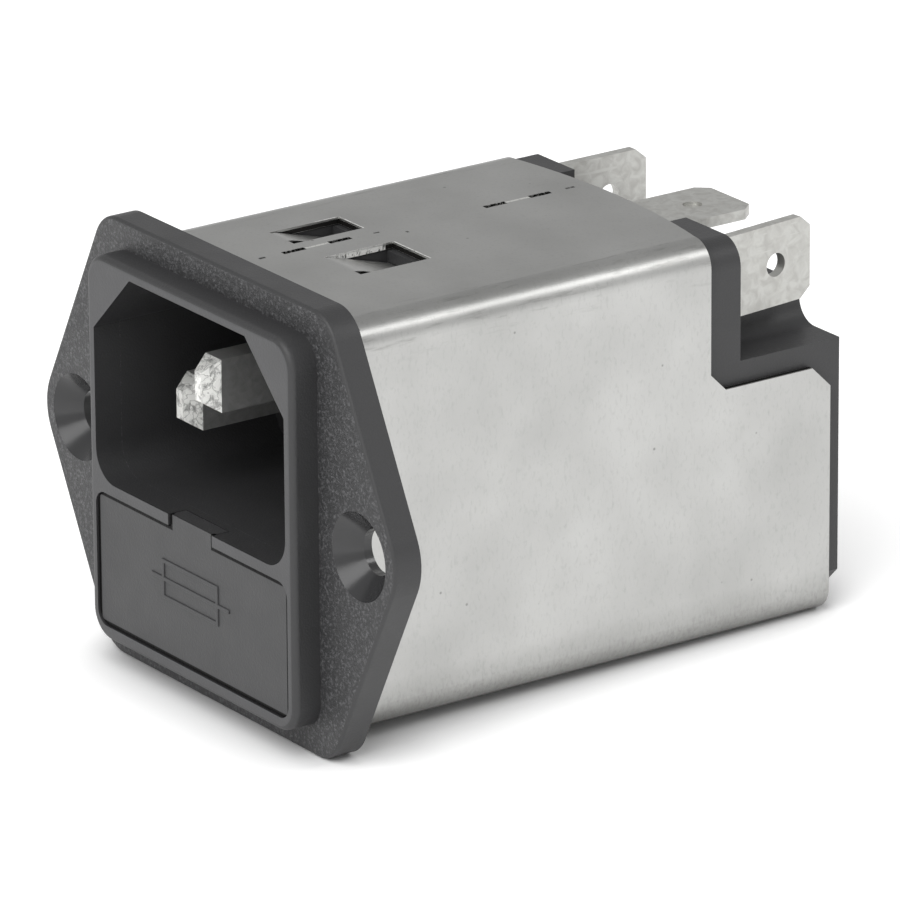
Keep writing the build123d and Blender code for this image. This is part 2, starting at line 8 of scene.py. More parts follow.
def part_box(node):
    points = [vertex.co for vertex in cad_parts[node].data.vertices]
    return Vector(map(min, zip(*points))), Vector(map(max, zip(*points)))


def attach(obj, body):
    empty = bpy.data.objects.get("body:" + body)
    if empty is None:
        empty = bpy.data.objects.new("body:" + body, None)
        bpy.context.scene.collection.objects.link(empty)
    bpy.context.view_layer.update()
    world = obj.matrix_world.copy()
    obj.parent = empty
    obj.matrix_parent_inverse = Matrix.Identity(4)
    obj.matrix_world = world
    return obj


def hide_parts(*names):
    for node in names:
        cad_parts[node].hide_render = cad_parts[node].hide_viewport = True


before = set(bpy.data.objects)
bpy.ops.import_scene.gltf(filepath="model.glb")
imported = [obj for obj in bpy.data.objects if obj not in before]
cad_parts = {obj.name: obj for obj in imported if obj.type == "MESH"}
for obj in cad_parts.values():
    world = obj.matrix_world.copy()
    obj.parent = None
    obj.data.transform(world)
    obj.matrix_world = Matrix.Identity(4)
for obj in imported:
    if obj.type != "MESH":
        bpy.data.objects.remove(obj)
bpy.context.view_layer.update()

bl_info = {
    "name": "Power Entry Module",
    "version": (1, 0, 0),
    "blender": (4, 5, 0),
    "location": "3D View > Sidebar > Power Entry",
    "description": "Finishes, fine parts and studio of a filtered mains inlet with a fuse drawer",
    "category": "Object",
}

MM = 0.001
ON_PLANE = 0.02 * MM  # a point this near to a plane counts as on it
FUSE_CLIPS = ("line_front_clip", "line_rear_clip", "neutral_front_clip", "neutral_rear_clip")


def linear(code):
    """Turns an sRGB hex colour into the linear values that Blender works in."""
    values = [int(code[i:i + 2], 16) / 255 for i in (1, 3, 5)]
    return [v / 12.92 if v <= 0.04045 else ((v + 0.055) / 1.055) ** 2.4 for v in values]


def colour(name, code, description):
    """Property for a colour, given as an sRGB hex value."""
    return bpy.props.FloatVectorProperty(
        name=name, description=description, subtype="COLOR", size=3, min=0, max=1, default=linear(code))


def length(name, millimetres, description):
    """Property for a length, given in millimetres and kept in metres."""
    return bpy.props.FloatProperty(
        name=name, description=description, subtype="DISTANCE", unit="LENGTH", precision=5,
        default=millimetres * MM)


def number(name, value, description, **settings):
    """Property for a plain number."""
    return bpy.props.FloatProperty(name=name, description=description, default=value, **settings)


def angle(name, degrees, description):
    """Property for an angle, given in degrees."""
    return bpy.props.FloatProperty(
        name=name, description=description, subtype="ANGLE", unit="ROTATION", default=math.radians(degrees))


def add_node(tree, kind, inputs=None, **settings):
    """Adds a node, sets its properties, and sets or links the inputs that are named."""
    node = tree.nodes.new(kind)
    for name, value in settings.items():
        setattr(node, name, value)
    for name, value in (inputs or {}).items():
        if isinstance(value, bpy.types.NodeSocket):
            tree.links.new(value, node.inputs[name])
        else:
            node.inputs[name].default_value = value
    return node


def opaque(value):
    """Adds full alpha to a plain colour, and leaves a socket or a colour that has it as it is."""
    return value if isinstance(value, bpy.types.NodeSocket) or len(value) == 4 else (*value, 1.0)


def maths(tree, operation, *values, **settings):
    """Adds one sum with numbers and gives its result."""
    node = add_node(tree, "ShaderNodeMath", dict(enumerate(values)), operation=operation, **settings)
    return node.outputs["Value"]


def product(tree, first, second):
    """Multiplies two numbers."""
    return maths(tree, "MULTIPLY", first, second)


def vectors(tree, operation, *values):
    """Adds one sum with vectors and gives its result, which is a number for a length or a distance."""
    node = add_node(tree, "ShaderNodeVectorMath", dict(enumerate(values)), operation=operation)
    return node.outputs["Value" if operation in ("LENGTH", "DISTANCE") else "Vector"]


def split(tree, vector):
    """Gives the three parts of a vector, each under the name of its axis."""
    return add_node(tree, "ShaderNodeSeparateXYZ", {"Vector": vector}).outputs


def ramp(tree, value, from_low, from_high, to_low=0.0, to_high=1.0, interpolation="LINEAR"):
    """Maps one span of a value onto another, and holds it at the ends."""
    return add_node(tree, "ShaderNodeMapRange", {
        "Value": value, "From Min": from_low, "From Max": from_high, "To Min": to_low, "To Max": to_high},
        interpolation_type=interpolation).outputs["Result"]


def between(tree, share, first, second):
    """Mixes two numbers by a share."""
    return add_node(tree, "ShaderNodeMix", {0: share, 2: first, 3: second}, data_type="FLOAT").outputs[0]


def blend(tree, share, first, second):
    """Mixes two colours by a share."""
    return add_node(tree, "ShaderNodeMix", {
        0: share, 6: opaque(first), 7: opaque(second)}, data_type="RGBA").outputs[2]


def noise(tree, place, width, detail, roughness=0.5, distortion=0.0):
    """Adds a cloudy pattern whose blots are about as wide as the width, in metres."""
    return add_node(tree, "ShaderNodeTexNoise", {
        "Vector": place, "Scale": 1 / width, "Detail": detail, "Roughness": roughness,
        "Distortion": distortion}).outputs["Fac"]


def stretched(tree, place, scale, turn=(0.0, 0.0, 0.0)):
    """Draws a pattern out along each axis whose scale is under 1."""
    return add_node(tree, "ShaderNodeMapping", {
        "Vector": place, "Rotation": turn, "Scale": scale}).outputs["Vector"]


def bump(tree, height, strength, depth, normal=None):
    """Adds fine relief of the given depth, in metres, on top of a coarser one if there is one."""
    inputs = {"Height": height, "Strength": strength, "Distance": depth}
    if normal is not None:
        inputs["Normal"] = normal
    return add_node(tree, "ShaderNodeBump", inputs).outputs["Normal"]


def direct_rays(tree):
    """Gives 1 for rays from the camera, and 1 for those and the rays that metal and glass send on."""
    seen = add_node(tree, "ShaderNodeLightPath").outputs
    direct = maths(tree, "MAXIMUM", seen["Is Camera Ray"], seen["Is Glossy Ray"])
    return seen["Is Camera Ray"], maths(tree, "MAXIMUM", direct, seen["Is Transmission Ray"])


def new_material(name):
    """Makes an empty material, and gives it, its tree and the place of each point on its object."""
    material = bpy.data.materials.new(name)
    material.use_nodes = True
    tree = material.node_tree
    tree.nodes.clear()
    return material, tree, add_node(tree, "ShaderNodeTexCoord").outputs["Object"]


def finished(material, inputs):
    """Closes a material with one Principled shader, and gives the material."""
    shader = add_node(material.node_tree, "ShaderNodeBsdfPrincipled", inputs).outputs["BSDF"]
    add_node(material.node_tree, "ShaderNodeOutputMaterial", {"Surface": shader})
    return material


def dress(material, *names):
    """Gives CAD nodes their finish."""
    for name in names:
        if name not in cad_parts:
            raise KeyError("the packed model has no part named " + name)
        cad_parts[name].material_slots[0].material = material


def middle(name):
    """Gives the middle of a CAD node's box."""
    low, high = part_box(name)
    return (low + high) / 2


class PowerEntryPlastic(bpy.types.PropertyGroup):
    moulding: colour("Moulding", "#333334", "Body colour of the front moulding and the rear insulator")
    # The paler tone serves the pale specks of the eroded face and the painted sheen on the front face of the
    # frame.
    moulding_wear_and_sheen: colour("Moulding, scuffed", "#747476", "Paler tone where the moulding is rubbed or eroded")
    drawer: colour("Drawer", "#3b3b3c", "Body colour of the fuse drawer")
    grain: length("Eroded grain", 0.2, "Width of one pit of the spark-eroded face of the flange")
    fine_grain: length("Fine grain", 0.16, "Width of one pit of the plain moulded faces")
    flange_thickness: length("Flange", 2.3, "Thickness of the flange, whose face is the eroded one")
    hole_place: length("Hole place", 18.0, "Distance of each fixing hole from the middle of the flange")
    countersink: length("Countersink", 3.4, "Radius that holds the countersink of a fixing hole")


class PowerEntryMetal(bpy.types.PropertyGroup):
    tin: colour("Tin", "#c0c0be", "Colour of the tinned steel sheet")
    tin_dull: colour("Tin, dull", "#b1b1af", "Colour of the duller patches of the tin")
    tab_tin: colour("Tab tin", "#c4c4c0", "Colour of the tinned brass tabs")
    # Painted light and shade of the pins: the first colour goes on the faces towards the front, as lit, the
    # second on the sides, as shaded in the socket.
    pin_lit_face: colour("Pin, rubbed", "#f2f2ee", "Colour of the nickel where a plug has rubbed it bright")
    pin_shaded_side: colour("Pin, skin", "#70706f", "Colour of the dull skin along the pins")
    patch: length("Patch", 8.0, "Width of the soft patches in the tin")
    tin_grain: length("Tin grain", 0.25, "Width of the fine grain of the tin")
    bend: length("Bend", 2.0, "Outer radius of the can's four bends")
    seam: length("Seam", -3.1, "Place of the seam across the top of the can")
    front_lock: length("Front lock", 8.8, "Place of the front lock along the seam")
    rear_lock: length("Rear lock", 26.5, "Place of the rear lock along the seam")
    lock_slot: length("Lock slot", 2.0, "Distance of each slot of a lock from the middle of that lock")
    window_wall: length("Window wall", -0.605, "Place of the burnished wall of the right window")
    window_end: length("Window end", 13.79, "Place of the far edges of both windows")


class PowerEntrySign(bpy.types.PropertyGroup):
    plate_height: length("Plate", 10.1, "Height of the plate that carries the sign")
    pull_tab: length("Pull tab", 5.4, "Width of the tab that stands up from the plate")
    left: length("Left", -3.9, "Left edge of the fuse body")
    right: length("Right", 3.35, "Right edge of the fuse body")
    low: length("Low", -9.27, "Lower edge of the fuse body")
    high: length("High", -6.2, "Upper edge of the fuse body")
    line_left: length("Line left", -5.2, "Left end of the line through the fuse")
    line_right: length("Line right", 4.75, "Right end of the line through the fuse")
    bar: length("Bar", 0.32, "Width of the raised bars")
    rise: length("Rise", 0.1, "Height of the raised bars above the plate")


class PowerEntryChoke(bpy.types.PropertyGroup):
    turns: bpy.props.IntProperty(
        name="Turns", description="Number of turns in each winding", default=6, min=1, max=20)
    wire: length("Wire", 0.9, "Diameter of the enamelled wire")
    spread: angle("Spread", 118.0, "Part of the ring that each winding covers")
    clearance: length("Clearance", 0.1, "Gap between the core and the wire")
    bore: length("Bore", 3.0, "Inner radius of the core")


class PowerEntryStudio(bpy.types.PropertyGroup):
    azimuth: angle("Azimuth", 54.991, "Turn of the camera from the front towards the right")
    elevation: angle("Elevation", 19.875, "Height of the camera above the horizon")
    roll: angle("Roll", -0.379, "Turn of the camera about its own axis")
    distance: length("Distance", 667.07, "Distance from the camera to the point that it is aimed at")
    lens: number("Lens", 372.82, "Focal length", unit="CAMERA")
    floor_front: length("Floor, front", -16.8, "Height of the floor under the flange")
    floor_slope: number("Floor slope", 0.02456, "Rise of the floor per length towards the back")
    key: number("Key", 3.6, "Power of the lamp at the front right", unit="POWER")
    strip: number("Strip", 0.6, "Power of the small lamp at the right, behind and above", unit="POWER")
    lamp_distance: length("Lamp distance", 700.0, "Distance of both lamps from the middle of the module")
    fill: number("Fill", 0.544, "Strength of the light from all round")
    horizon: number("Horizon", 0.8, "Brightness that metal and glass mirror near the floor")
    backdrop: number("Backdrop", 0.448, "Brightness that metal and glass mirror overhead")
    right_side: number("Right side", 0.72, "Brightness that metal and glass mirror at the right")
    lift: number("Floor lift", 0.35, "Light that the floor shows by itself near the module")


PROPERTY_GROUPS = {
    "power_entry_plastic": PowerEntryPlastic,
    "power_entry_metal": PowerEntryMetal,
    "power_entry_sign": PowerEntrySign,
    "power_entry_choke": PowerEntryChoke,
    "power_entry_studio": PowerEntryStudio,
}


def box_edge(tree, place, low, high):
    """Distance in metres from a point to the nearest side of an upright rectangle that holds it."""
    parts = split(tree, place)
    gaps = []
    for axis, near, far in (("X", low.x, high.x), ("Z", low.z, high.z)):
        off = maths(tree, "ABSOLUTE", maths(tree, "SUBTRACT", parts[axis], (near + far) / 2))
        gaps.append(maths(tree, "SUBTRACT", (far - near) / 2, off))
    return maths(tree, "MINIMUM", gaps[0], gaps[1])


def moulded_polyamide(name, tones, tone, eroded=None, handled=None, holes=(), plates=()):
    """Glass-filled polyamide, injection moulded: near black with a dull sheen and a very fine grain.

    The eroded depth is a plane with a coarse spark-eroded skin, and the handled depth is a plane painted
    paler as painted sheen. The holes are upright discs whose walls were shaped by a polished core. The plates
    are boxes that make up a front plate, whose outline is painted near black as painted shade of the joint
    round it.
    """
    material, tree, place = new_material(name)
    depth = split(tree, place)["Y"]
    # The flow of the plastic into the mould shows as broad patches with a little more or less sheen.
    flow = noise(tree, place, 4 * MM, 3.0, 0.6)
    height = noise(tree, place, tones.fine_grain, 2.0, 0.55)
    tint, reach, shine = opaque(tone), 0.04 * MM, 0.0
    rough = ramp(tree, flow, 0.3, 0.7, 0.44, 0.52)
    # Painted sheen: the front face of the frame, at the handled depth, is painted a fifth of the way to the
    # paler tone, for the light it catches.
    if handled is not None:
        here = product(tree, maths(tree, "COMPARE", depth, handled, ON_PLANE), 0.2)
        tint = blend(tree, here, tint, tones.moulding_wear_and_sheen)
    if eroded is not None:
        here = maths(tree, "COMPARE", depth, eroded, ON_PLANE)
        pits = noise(tree, place, tones.grain, 3.0, 0.7)
        # The tops between the pits are painted as pale specks, partly their rubbed tone and partly a painted
        # sparkle of light.
        specks = product(tree, ramp(tree, pits, 0.5, 0.72, 0.0, 0.8), here)
        tint = blend(tree, specks, tint, tones.moulding_wear_and_sheen)
        height = between(tree, here, height, pits)
        reach = ramp(tree, here, 0.0, 1.0, reach, 0.16 * MM)
    # The walls of the holes are smooth, so they catch the light that the eroded face scatters.
    for spot, radius, face in holes:
        away = vectors(tree, "MULTIPLY", place, (1.0, 0.0, 1.0))
        away = vectors(tree, "DISTANCE", away, spot)
        wall = maths(tree, "LESS_THAN", away, radius)
        behind = maths(tree, "GREATER_THAN", depth, face)
        wall = product(tree, wall, behind)
        rough = maths(tree, "MULTIPLY_ADD", wall, -0.26, rough)
        wall = maths(tree, "SUBTRACT", 1.0, wall)
        reach = product(tree, wall, reach)
    if plates:
        # Painted shade: within about 0.2 mm of the plate's outline the plastic is painted near black and made
        # a black metal that gives back no light, for the shadow in the joint round the plate.
        gap_shade_clearance = -1.0
        for plate in plates:
            gap_shade_clearance = maths(tree, "MAXIMUM", gap_shade_clearance, box_edge(tree, place, *plate))
        gap_shade_clearance = ramp(tree, gap_shade_clearance, 0.19 * MM, 0.26 * MM, interpolation="SMOOTHSTEP")
        # The sides of the plate, which show once the drawer is out, keep the tone of the moulding, without
        # the painted shade.
        sides = maths(tree, "GREATER_THAN", depth, plates[0][0].y + 0.3 * MM)
        gap_shade_clearance = maths(tree, "MAXIMUM", gap_shade_clearance, sides)
        shine = maths(tree, "SUBTRACT", 1.0, gap_shade_clearance)
        tint = blend(tree, gap_shade_clearance, linear("#101010"), tint)
    relief = bump(tree, height, 0.6, reach)
    return finished(material, {
        "Base Color": tint, "Metallic": shine, "Roughness": rough, "IOR": 1.53, "Normal": relief})


def spot_mask(tree, place, x, y, half_x, half_y):
    """Mask of one small oblong mark seen from above."""
    parts = split(tree, place)
    across = maths(tree, "COMPARE", parts["X"], x, half_x)
    along = maths(tree, "COMPARE", parts["Y"], y, half_y)
    above = maths(tree, "GREATER_THAN", parts["Z"], 0.0)
    both = product(tree, across, along)
    return product(tree, both, above)


def sheet_depth(tree, place, low, high, bend):
    """Depth into the wall of a folded tube, from its outer face, in metres."""
    middle_place = ((low.x + high.x) / 2, 0.0, (low.z + high.z) / 2)
    straight = ((high.x - low.x) / 2 - bend, 0.0, (high.z - low.z) / 2 - bend)
    across = vectors(tree, "MULTIPLY", place, (1.0, 0.0, 1.0))
    across = vectors(tree, "ABSOLUTE", vectors(tree, "SUBTRACT", across, middle_place))
    across = vectors(tree, "SUBTRACT", across, straight)
    outside = vectors(tree, "LENGTH", vectors(tree, "MAXIMUM", across, (0.0, 0.0, 0.0)))
    parts = split(tree, across)
    inside = maths(tree, "MINIMUM", maths(tree, "MAXIMUM", parts["X"], parts["Z"]), 0.0)
    return maths(tree, "SUBTRACT", bend, maths(tree, "ADD", outside, inside))


def bend_share(tree, place, low, high, reach):
    """Share from 0 to 1 of how near a point lies to a long edge of a box that runs from front to back."""
    parts = split(tree, place)
    share = 1.0
    for axis, near, far in (("X", low.x, high.x), ("Z", low.z, high.z)):
        off = maths(tree, "ABSOLUTE", maths(tree, "SUBTRACT", parts[axis], (near + far) / 2))
        here = ramp(tree, off, (far - near) / 2 - reach, (far - near) / 2 - reach / 2)
        share = product(tree, share, here)
    return share


def rolled_tin(name, metal, bright, dull, cut=None, marks=()):
    """Electro-tinned steel sheet, cold rolled: an even satin grey with a fine grain and faint soft patches.

    The cut, if given, holds the box and the bend of a folded tube. Its sheared edges are then painted with a
    near-white line at the outer face, partly their burnish and partly a painted highlight, and a near-black
    band behind it, partly the rough steel where the sheet tore and partly painted shade. Its bends show short
    smears left by the folding tool, and towards the floor its sides are painted darker as painted shade. A
    mark is a colour and an oblong seen from above, by its middle and half its size.
    """
    material, tree, place = new_material(name)
    cloud = noise(tree, place, metal.patch, 3.0)
    drawn = stretched(tree, place, (1.0, 1.0, 0.45))
    fine = noise(tree, drawn, metal.tin_grain, 3.0, 0.65, 0.6)
    share = ramp(tree, cloud, 0.3, 0.7)
    tint = blend(tree, share, dull, bright)
    # The grain of the sheet shows as short marks that are only a little darker, with a few dark specks.
    pitted = ramp(tree, fine, 0.52, 0.8, 0.0, 0.35)
    cells = add_node(tree, "ShaderNodeTexVoronoi", {"Vector": place, "Scale": 1 / (3 * MM)})
    speck = ramp(tree, cells.outputs["Distance"], 0.05, 0.03, 0.0, 0.9)
    pitted = maths(tree, "MAXIMUM", pitted, speck)
    tint = blend(tree, pitted, tint, linear("#8c8c8a"))
    rough = ramp(tree, fine, 0.3, 0.7, 0.4, 0.36)
    if cut is not None:
        low, high, bend = cut
        depth = sheet_depth(tree, place, low, high, bend)
        sheared = maths(tree, "COMPARE", depth, 0.25 * MM, 0.22 * MM)
        # A tongue that slopes down from the sheet isn't a sheared face, so it keeps the sheet's own look.
        upright = split(tree, add_node(tree, "ShaderNodeTexCoord").outputs["Normal"])["Z"]
        sloping = maths(tree, "COMPARE", upright, 0.9, 0.09)
        sheared = maths(tree, "SUBTRACT", sheared, sloping, use_clamp=True)
        # Painted light and shade: the outer 0.14 mm of a sheared edge is painted near white, partly burnish
        # and partly a painted highlight, the rest near black, partly rough steel and partly painted shade.
        torn_and_shaded = maths(tree, "GREATER_THAN", depth, 0.14 * MM)
        edge_tone = blend(tree, torn_and_shaded, linear("#dededb"), linear("#343332"))
        tint = blend(tree, sheared, tint, edge_tone)
        torn_and_shaded = product(tree, torn_and_shaded, sheared)
        rough = maths(tree, "MULTIPLY_ADD", torn_and_shaded, 0.2, rough)
        # The folding tool leaves short dark smears along the bends.
        along = stretched(tree, place, (1.0, 0.12, 1.0))
        smears_and_painted_shade = noise(tree, along, 0.5 * MM, 3.0, 0.7)
        smears_and_painted_shade = ramp(tree, smears_and_painted_shade, 0.56, 0.74, 0.0, 0.5)
        near_bend = bend_share(tree, place, low, high, 1.8 * bend)
        smears_and_painted_shade = product(tree, smears_and_painted_shade, near_bend)
        # Painted shade: towards the floor the sides are painted darker, more so the lower they are, for the
        # shadowed floor that they mirror.
        height = split(tree, place)["Z"]
        scuffs_and_painted_shade = ramp(tree, height, low.z + 3.8 * MM, low.z + 0.8 * MM, 0.0, 0.5)
        uneven = ramp(tree, fine, 0.35, 0.65, 0.7, 1.2)
        scuffs_and_painted_shade = product(tree, scuffs_and_painted_shade, uneven)
        smears_and_painted_shade = maths(tree, "MAXIMUM", smears_and_painted_shade, scuffs_and_painted_shade)
        # The fold smears and the painted shade low on the sides share one dark tone.
        tint = blend(tree, smears_and_painted_shade, tint, linear("#777673"))
    # The grain of the sheet breaks up every mark on it.
    broken = ramp(tree, fine, 0.34, 0.48)
    for code, *oblong in marks:
        here = spot_mask(tree, place, *oblong)
        here = product(tree, here, broken)
        tint = blend(tree, here, tint, linear(code))
        rough = maths(tree, "MULTIPLY_ADD", here, 0.2, rough)
    # Flat rolled sheet still sways a little, which bends what it mirrors.
    sway = bump(tree, cloud, 0.12, 0.04 * MM)
    relief = bump(tree, fine, 0.2, 0.009 * MM, sway)
    return finished(material, {
        "Base Color": tint, "Metallic": 1.0, "Roughness": rough, "Normal": relief})


def stamped_metal(name, bright, dull, roughness, cloud, shine=1.0, relief_depth=0.03):
    """Plated strip, stamped and handled: a satin metal with soft blotches and a few fine scratches.

    The shine is how far the plating acts as a clean metal, and the rest of it is a dull skin.
    """
    material, tree, place = new_material(name)
    blotch = noise(tree, place, cloud, 3.0, 0.55, 0.8)
    # Handling leaves thin bright scratches that lean the same way.
    turned = stretched(tree, place, (1.0, 0.06, 1.0), (0.6, 0.3, 0.5))
    scratch = ramp(tree, noise(tree, turned, 0.35 * MM, 2.0), 0.66, 0.72)
    share = ramp(tree, blotch, 0.35, 0.62)
    share = maths(tree, "MAXIMUM", share, scratch)
    tint = blend(tree, share, dull, bright)
    rough = ramp(tree, blotch, 0.3, 0.7, roughness + 0.06, roughness - 0.04)
    relief = bump(tree, blotch, 0.4, relief_depth * MM)
    return finished(material, {
        "Base Color": tint, "Metallic": shine, "Roughness": rough, "Normal": relief})


def lit_and_shaded_nickel(name, rubbed, skin):
    """Nickel-plated brass pin: front faces painted bright as lit, with scuffs and score lines; sides painted
    dark as shaded.
    """
    material, tree, place = new_material(name)
    facing = split(tree, add_node(tree, "ShaderNodeTexCoord").outputs["Normal"])["Y"]
    tip = ramp(tree, facing, -0.2, -0.35)
    scuffs_and_painted_shade = noise(tree, place, 0.6 * MM, 4.0, 0.6, 0.4)
    bright = ramp(tree, scuffs_and_painted_shade, 0.34, 0.5)
    # Thin dark score lines wander over the bright tip.
    score = noise(tree, place, 1.3 * MM, 2.0, 0.6)
    score = maths(tree, "COMPARE", score, 0.5, 0.012)
    score = maths(tree, "MULTIPLY_ADD", score, -0.6, 1.0)
    bright = product(tree, bright, score)
    # Painted light and shade: the faces towards the front take the rubbed colour, as lit, and the sides the
    # skin colour, as shaded in the socket.
    face = blend(tree, bright, linear("#a9a9a7"), rubbed)
    side = blend(tree, scuffs_and_painted_shade, skin, linear("#949493"))
    tint = blend(tree, tip, side, face)
    shine = ramp(tree, tip, 0.0, 1.0, 0.3, 0.5)
    rough = ramp(tree, scuffs_and_painted_shade, 0.0, 1.0, 0.3, 0.5)
    reach = ramp(tree, tip, 0.0, 1.0, 0.01 * MM, 0.06 * MM)
    relief = bump(tree, bright, 0.6, reach)
    return finished(material, {
        "Base Color": tint, "Metallic": shine, "Roughness": rough, "Normal": relief})


def speckled_solid(name, tone, fleck, grain, roughness, coat=0.0, share=0.35):
    """Moulded, dipped or pressed body: one colour with fine flecks and a slightly uneven skin."""
    material, tree, place = new_material(name)
    mottle = noise(tree, place, grain, 3.0, 0.6)
    tint = blend(tree, ramp(tree, mottle, 0.45, 0.7, 0.0, share), tone, fleck)
    rough = ramp(tree, mottle, 0.0, 1.0, roughness - 0.05, roughness + 0.08)
    relief = bump(tree, mottle, 0.2, 0.03 * MM)
    return finished(material, {
        "Base Color": tint, "Roughness": rough, "Coat Weight": coat, "Coat Roughness": 0.08,
        "Normal": relief})


def clear_glass(name):
    """Drawn soda-lime glass tube: clear, with faint drawing lines along it."""
    material, tree, place = new_material(name)
    lines = noise(tree, stretched(tree, place, (1.0, 0.05, 1.0)), 0.5 * MM, 1.0)
    relief = bump(tree, lines, 0.1, 0.02 * MM)
    return finished(material, {
        "Base Color": opaque(linear("#f4f8f6")), "Roughness": 0.03, "IOR": 1.52,
        "Transmission Weight": 1.0, "Normal": relief})


def banded_lacquer(name, centre, body_length):
    """Carbon film resistor: a beige lacquered body with painted rings across it, and bare leads."""
    material, tree, place = new_material(name)
    across = split(tree, place)["X"]
    speckle = noise(tree, place, 0.4 * MM, 2.0)
    tint = blend(tree, speckle, linear("#c9b184"), linear("#d8c49c"))
    rings = ((-0.32, "#5a2f16"), (-0.14, "#161514"), (0.04, "#2e7a3a"), (0.3, "#a8842c"))
    half_ring = 0.32 * MM
    for share, code in rings:
        ring = maths(tree, "COMPARE", across, centre.x + share * body_length, half_ring)
        tint = blend(tree, ring, tint, linear(code))
    off_middle = maths(tree, "COMPARE", across, centre.x, body_length / 2)
    lead = maths(tree, "SUBTRACT", 1.0, off_middle)
    tint = blend(tree, lead, tint, linear("#c4c2bd"))
    relief = bump(tree, speckle, 0.15, 0.03 * MM)
    return finished(material, {
        "Base Color": tint, "Metallic": lead, "Roughness": 0.3, "Normal": relief})


def pressed_laminate(name):
    """Epoxy glass laminate with solder resist: a green sheet with the faint weave of the glass cloth."""
    material, tree, place = new_material(name)
    # A wave texture turns by 20 radians per unit of its scale, and the weave by one radian in 0.45 mm.
    scale = 1 / (20 * 0.45 * MM)
    warp, weft = (add_node(tree, "ShaderNodeTexWave", {
        "Vector": place, "Scale": scale}, bands_direction=way).outputs["Fac"] for way in "XY")
    weave = product(tree, warp, weft)
    tint = blend(tree, weave, linear("#2f5d33"), linear("#417247"))
    relief = bump(tree, weave, 0.15, 0.02 * MM)
    return finished(material, {
        "Base Color": tint, "Roughness": 0.38, "IOR": 1.55, "Normal": relief})


def studio_floor(name, lift):
    """Matt white paper: pale, with a little light of its own that fades close to what stands on it."""
    material, tree, place = new_material(name)
    direct = direct_rays(tree)[1]
    free = add_node(tree, "ShaderNodeAmbientOcclusion", {"Distance": 7 * MM}, samples=8).outputs["AO"]
    free = ramp(tree, free, 0.4, 0.95, interpolation="SMOOTHSTEP")
    direct = product(tree, direct, free)
    # Further off than the lamps reach, the paper runs out to the white of the backdrop.
    far = ramp(tree, vectors(tree, "LENGTH", place), 0.3, 0.9, lift, 1.0)
    glow = product(tree, direct, far)
    paper = add_node(tree, "ShaderNodeBsdfDiffuse", {"Color": opaque(linear("#f4f4f4"))}).outputs["BSDF"]
    light = add_node(tree, "ShaderNodeEmission", {"Strength": glow}).outputs["Emission"]
    both = add_node(tree, "ShaderNodeAddShader", {0: paper, 1: light}).outputs["Shader"]
    add_node(tree, "ShaderNodeOutputMaterial", {"Surface": both})
    return material


def mesh_object(name, mesh, body, material):
    """Links a finished mesh as a piece that rides on a CAD body."""
    piece = bpy.data.objects.new(name, mesh)
    bpy.context.scene.collection.objects.link(piece)
    mesh.materials.clear()
    mesh.materials.append(material)
    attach(piece, body)
    return piece


def baked(name, source):
    """Turns an evaluated object into a plain mesh and removes the object that made it."""
    graph = bpy.context.evaluated_depsgraph_get()
    mesh = bpy.data.meshes.new_from_object(source.evaluated_get(graph))
    mesh.name = name
    bpy.data.objects.remove(source)
    if not mesh.polygons:
        raise RuntimeError(name + " came out empty")
    return mesh


def geometry_tree(name, sockets):
    """Makes a geometry node tree with the named inputs, and gives it, those inputs and identifiers."""
    tree = bpy.data.node_groups.new(name, "GeometryNodeTree")
    tree.interface.new_socket("Geometry", in_out="INPUT", socket_type="NodeSocketGeometry")
    identifiers = {}
    for kind, labels in sockets.items():
        for label in labels:
            identifiers[label] = tree.interface.new_socket(
                label, in_out="INPUT", socket_type="NodeSocket" + kind).identifier
    tree.interface.new_socket("Geometry", in_out="OUTPUT", socket_type="NodeSocketGeometry")
    return tree, add_node(tree, "NodeGroupInput").outputs, identifiers


def finish_tree(tree, geometry, material):
    """Makes what a geometry node tree has built real, smooth and dressed, and gives it out."""
    for kind, inputs in (("GeometryNodeRealizeInstances", {}), ("GeometryNodeSetShadeSmooth", {}),
                         ("GeometryNodeSetMaterial", {"Material": material})):
        geometry = add_node(tree, kind, {"Geometry": geometry, **inputs}).outputs["Geometry"]
    add_node(tree, "NodeGroupOutput", {"Geometry": geometry})


def run_tree(name, tree, identifiers, values, mesh):
    """Runs a geometry node tree on a mesh and gives the plain mesh that comes out."""
    source = bpy.data.objects.new(name + "_source", mesh)
    modifier = source.modifiers.new("Nodes", "NODES")
    modifier.node_group = tree
    for label, value in values.items():
        modifier[identifiers[label]] = value
    bpy.context.scene.collection.objects.link(source)
    return baked(name, source)


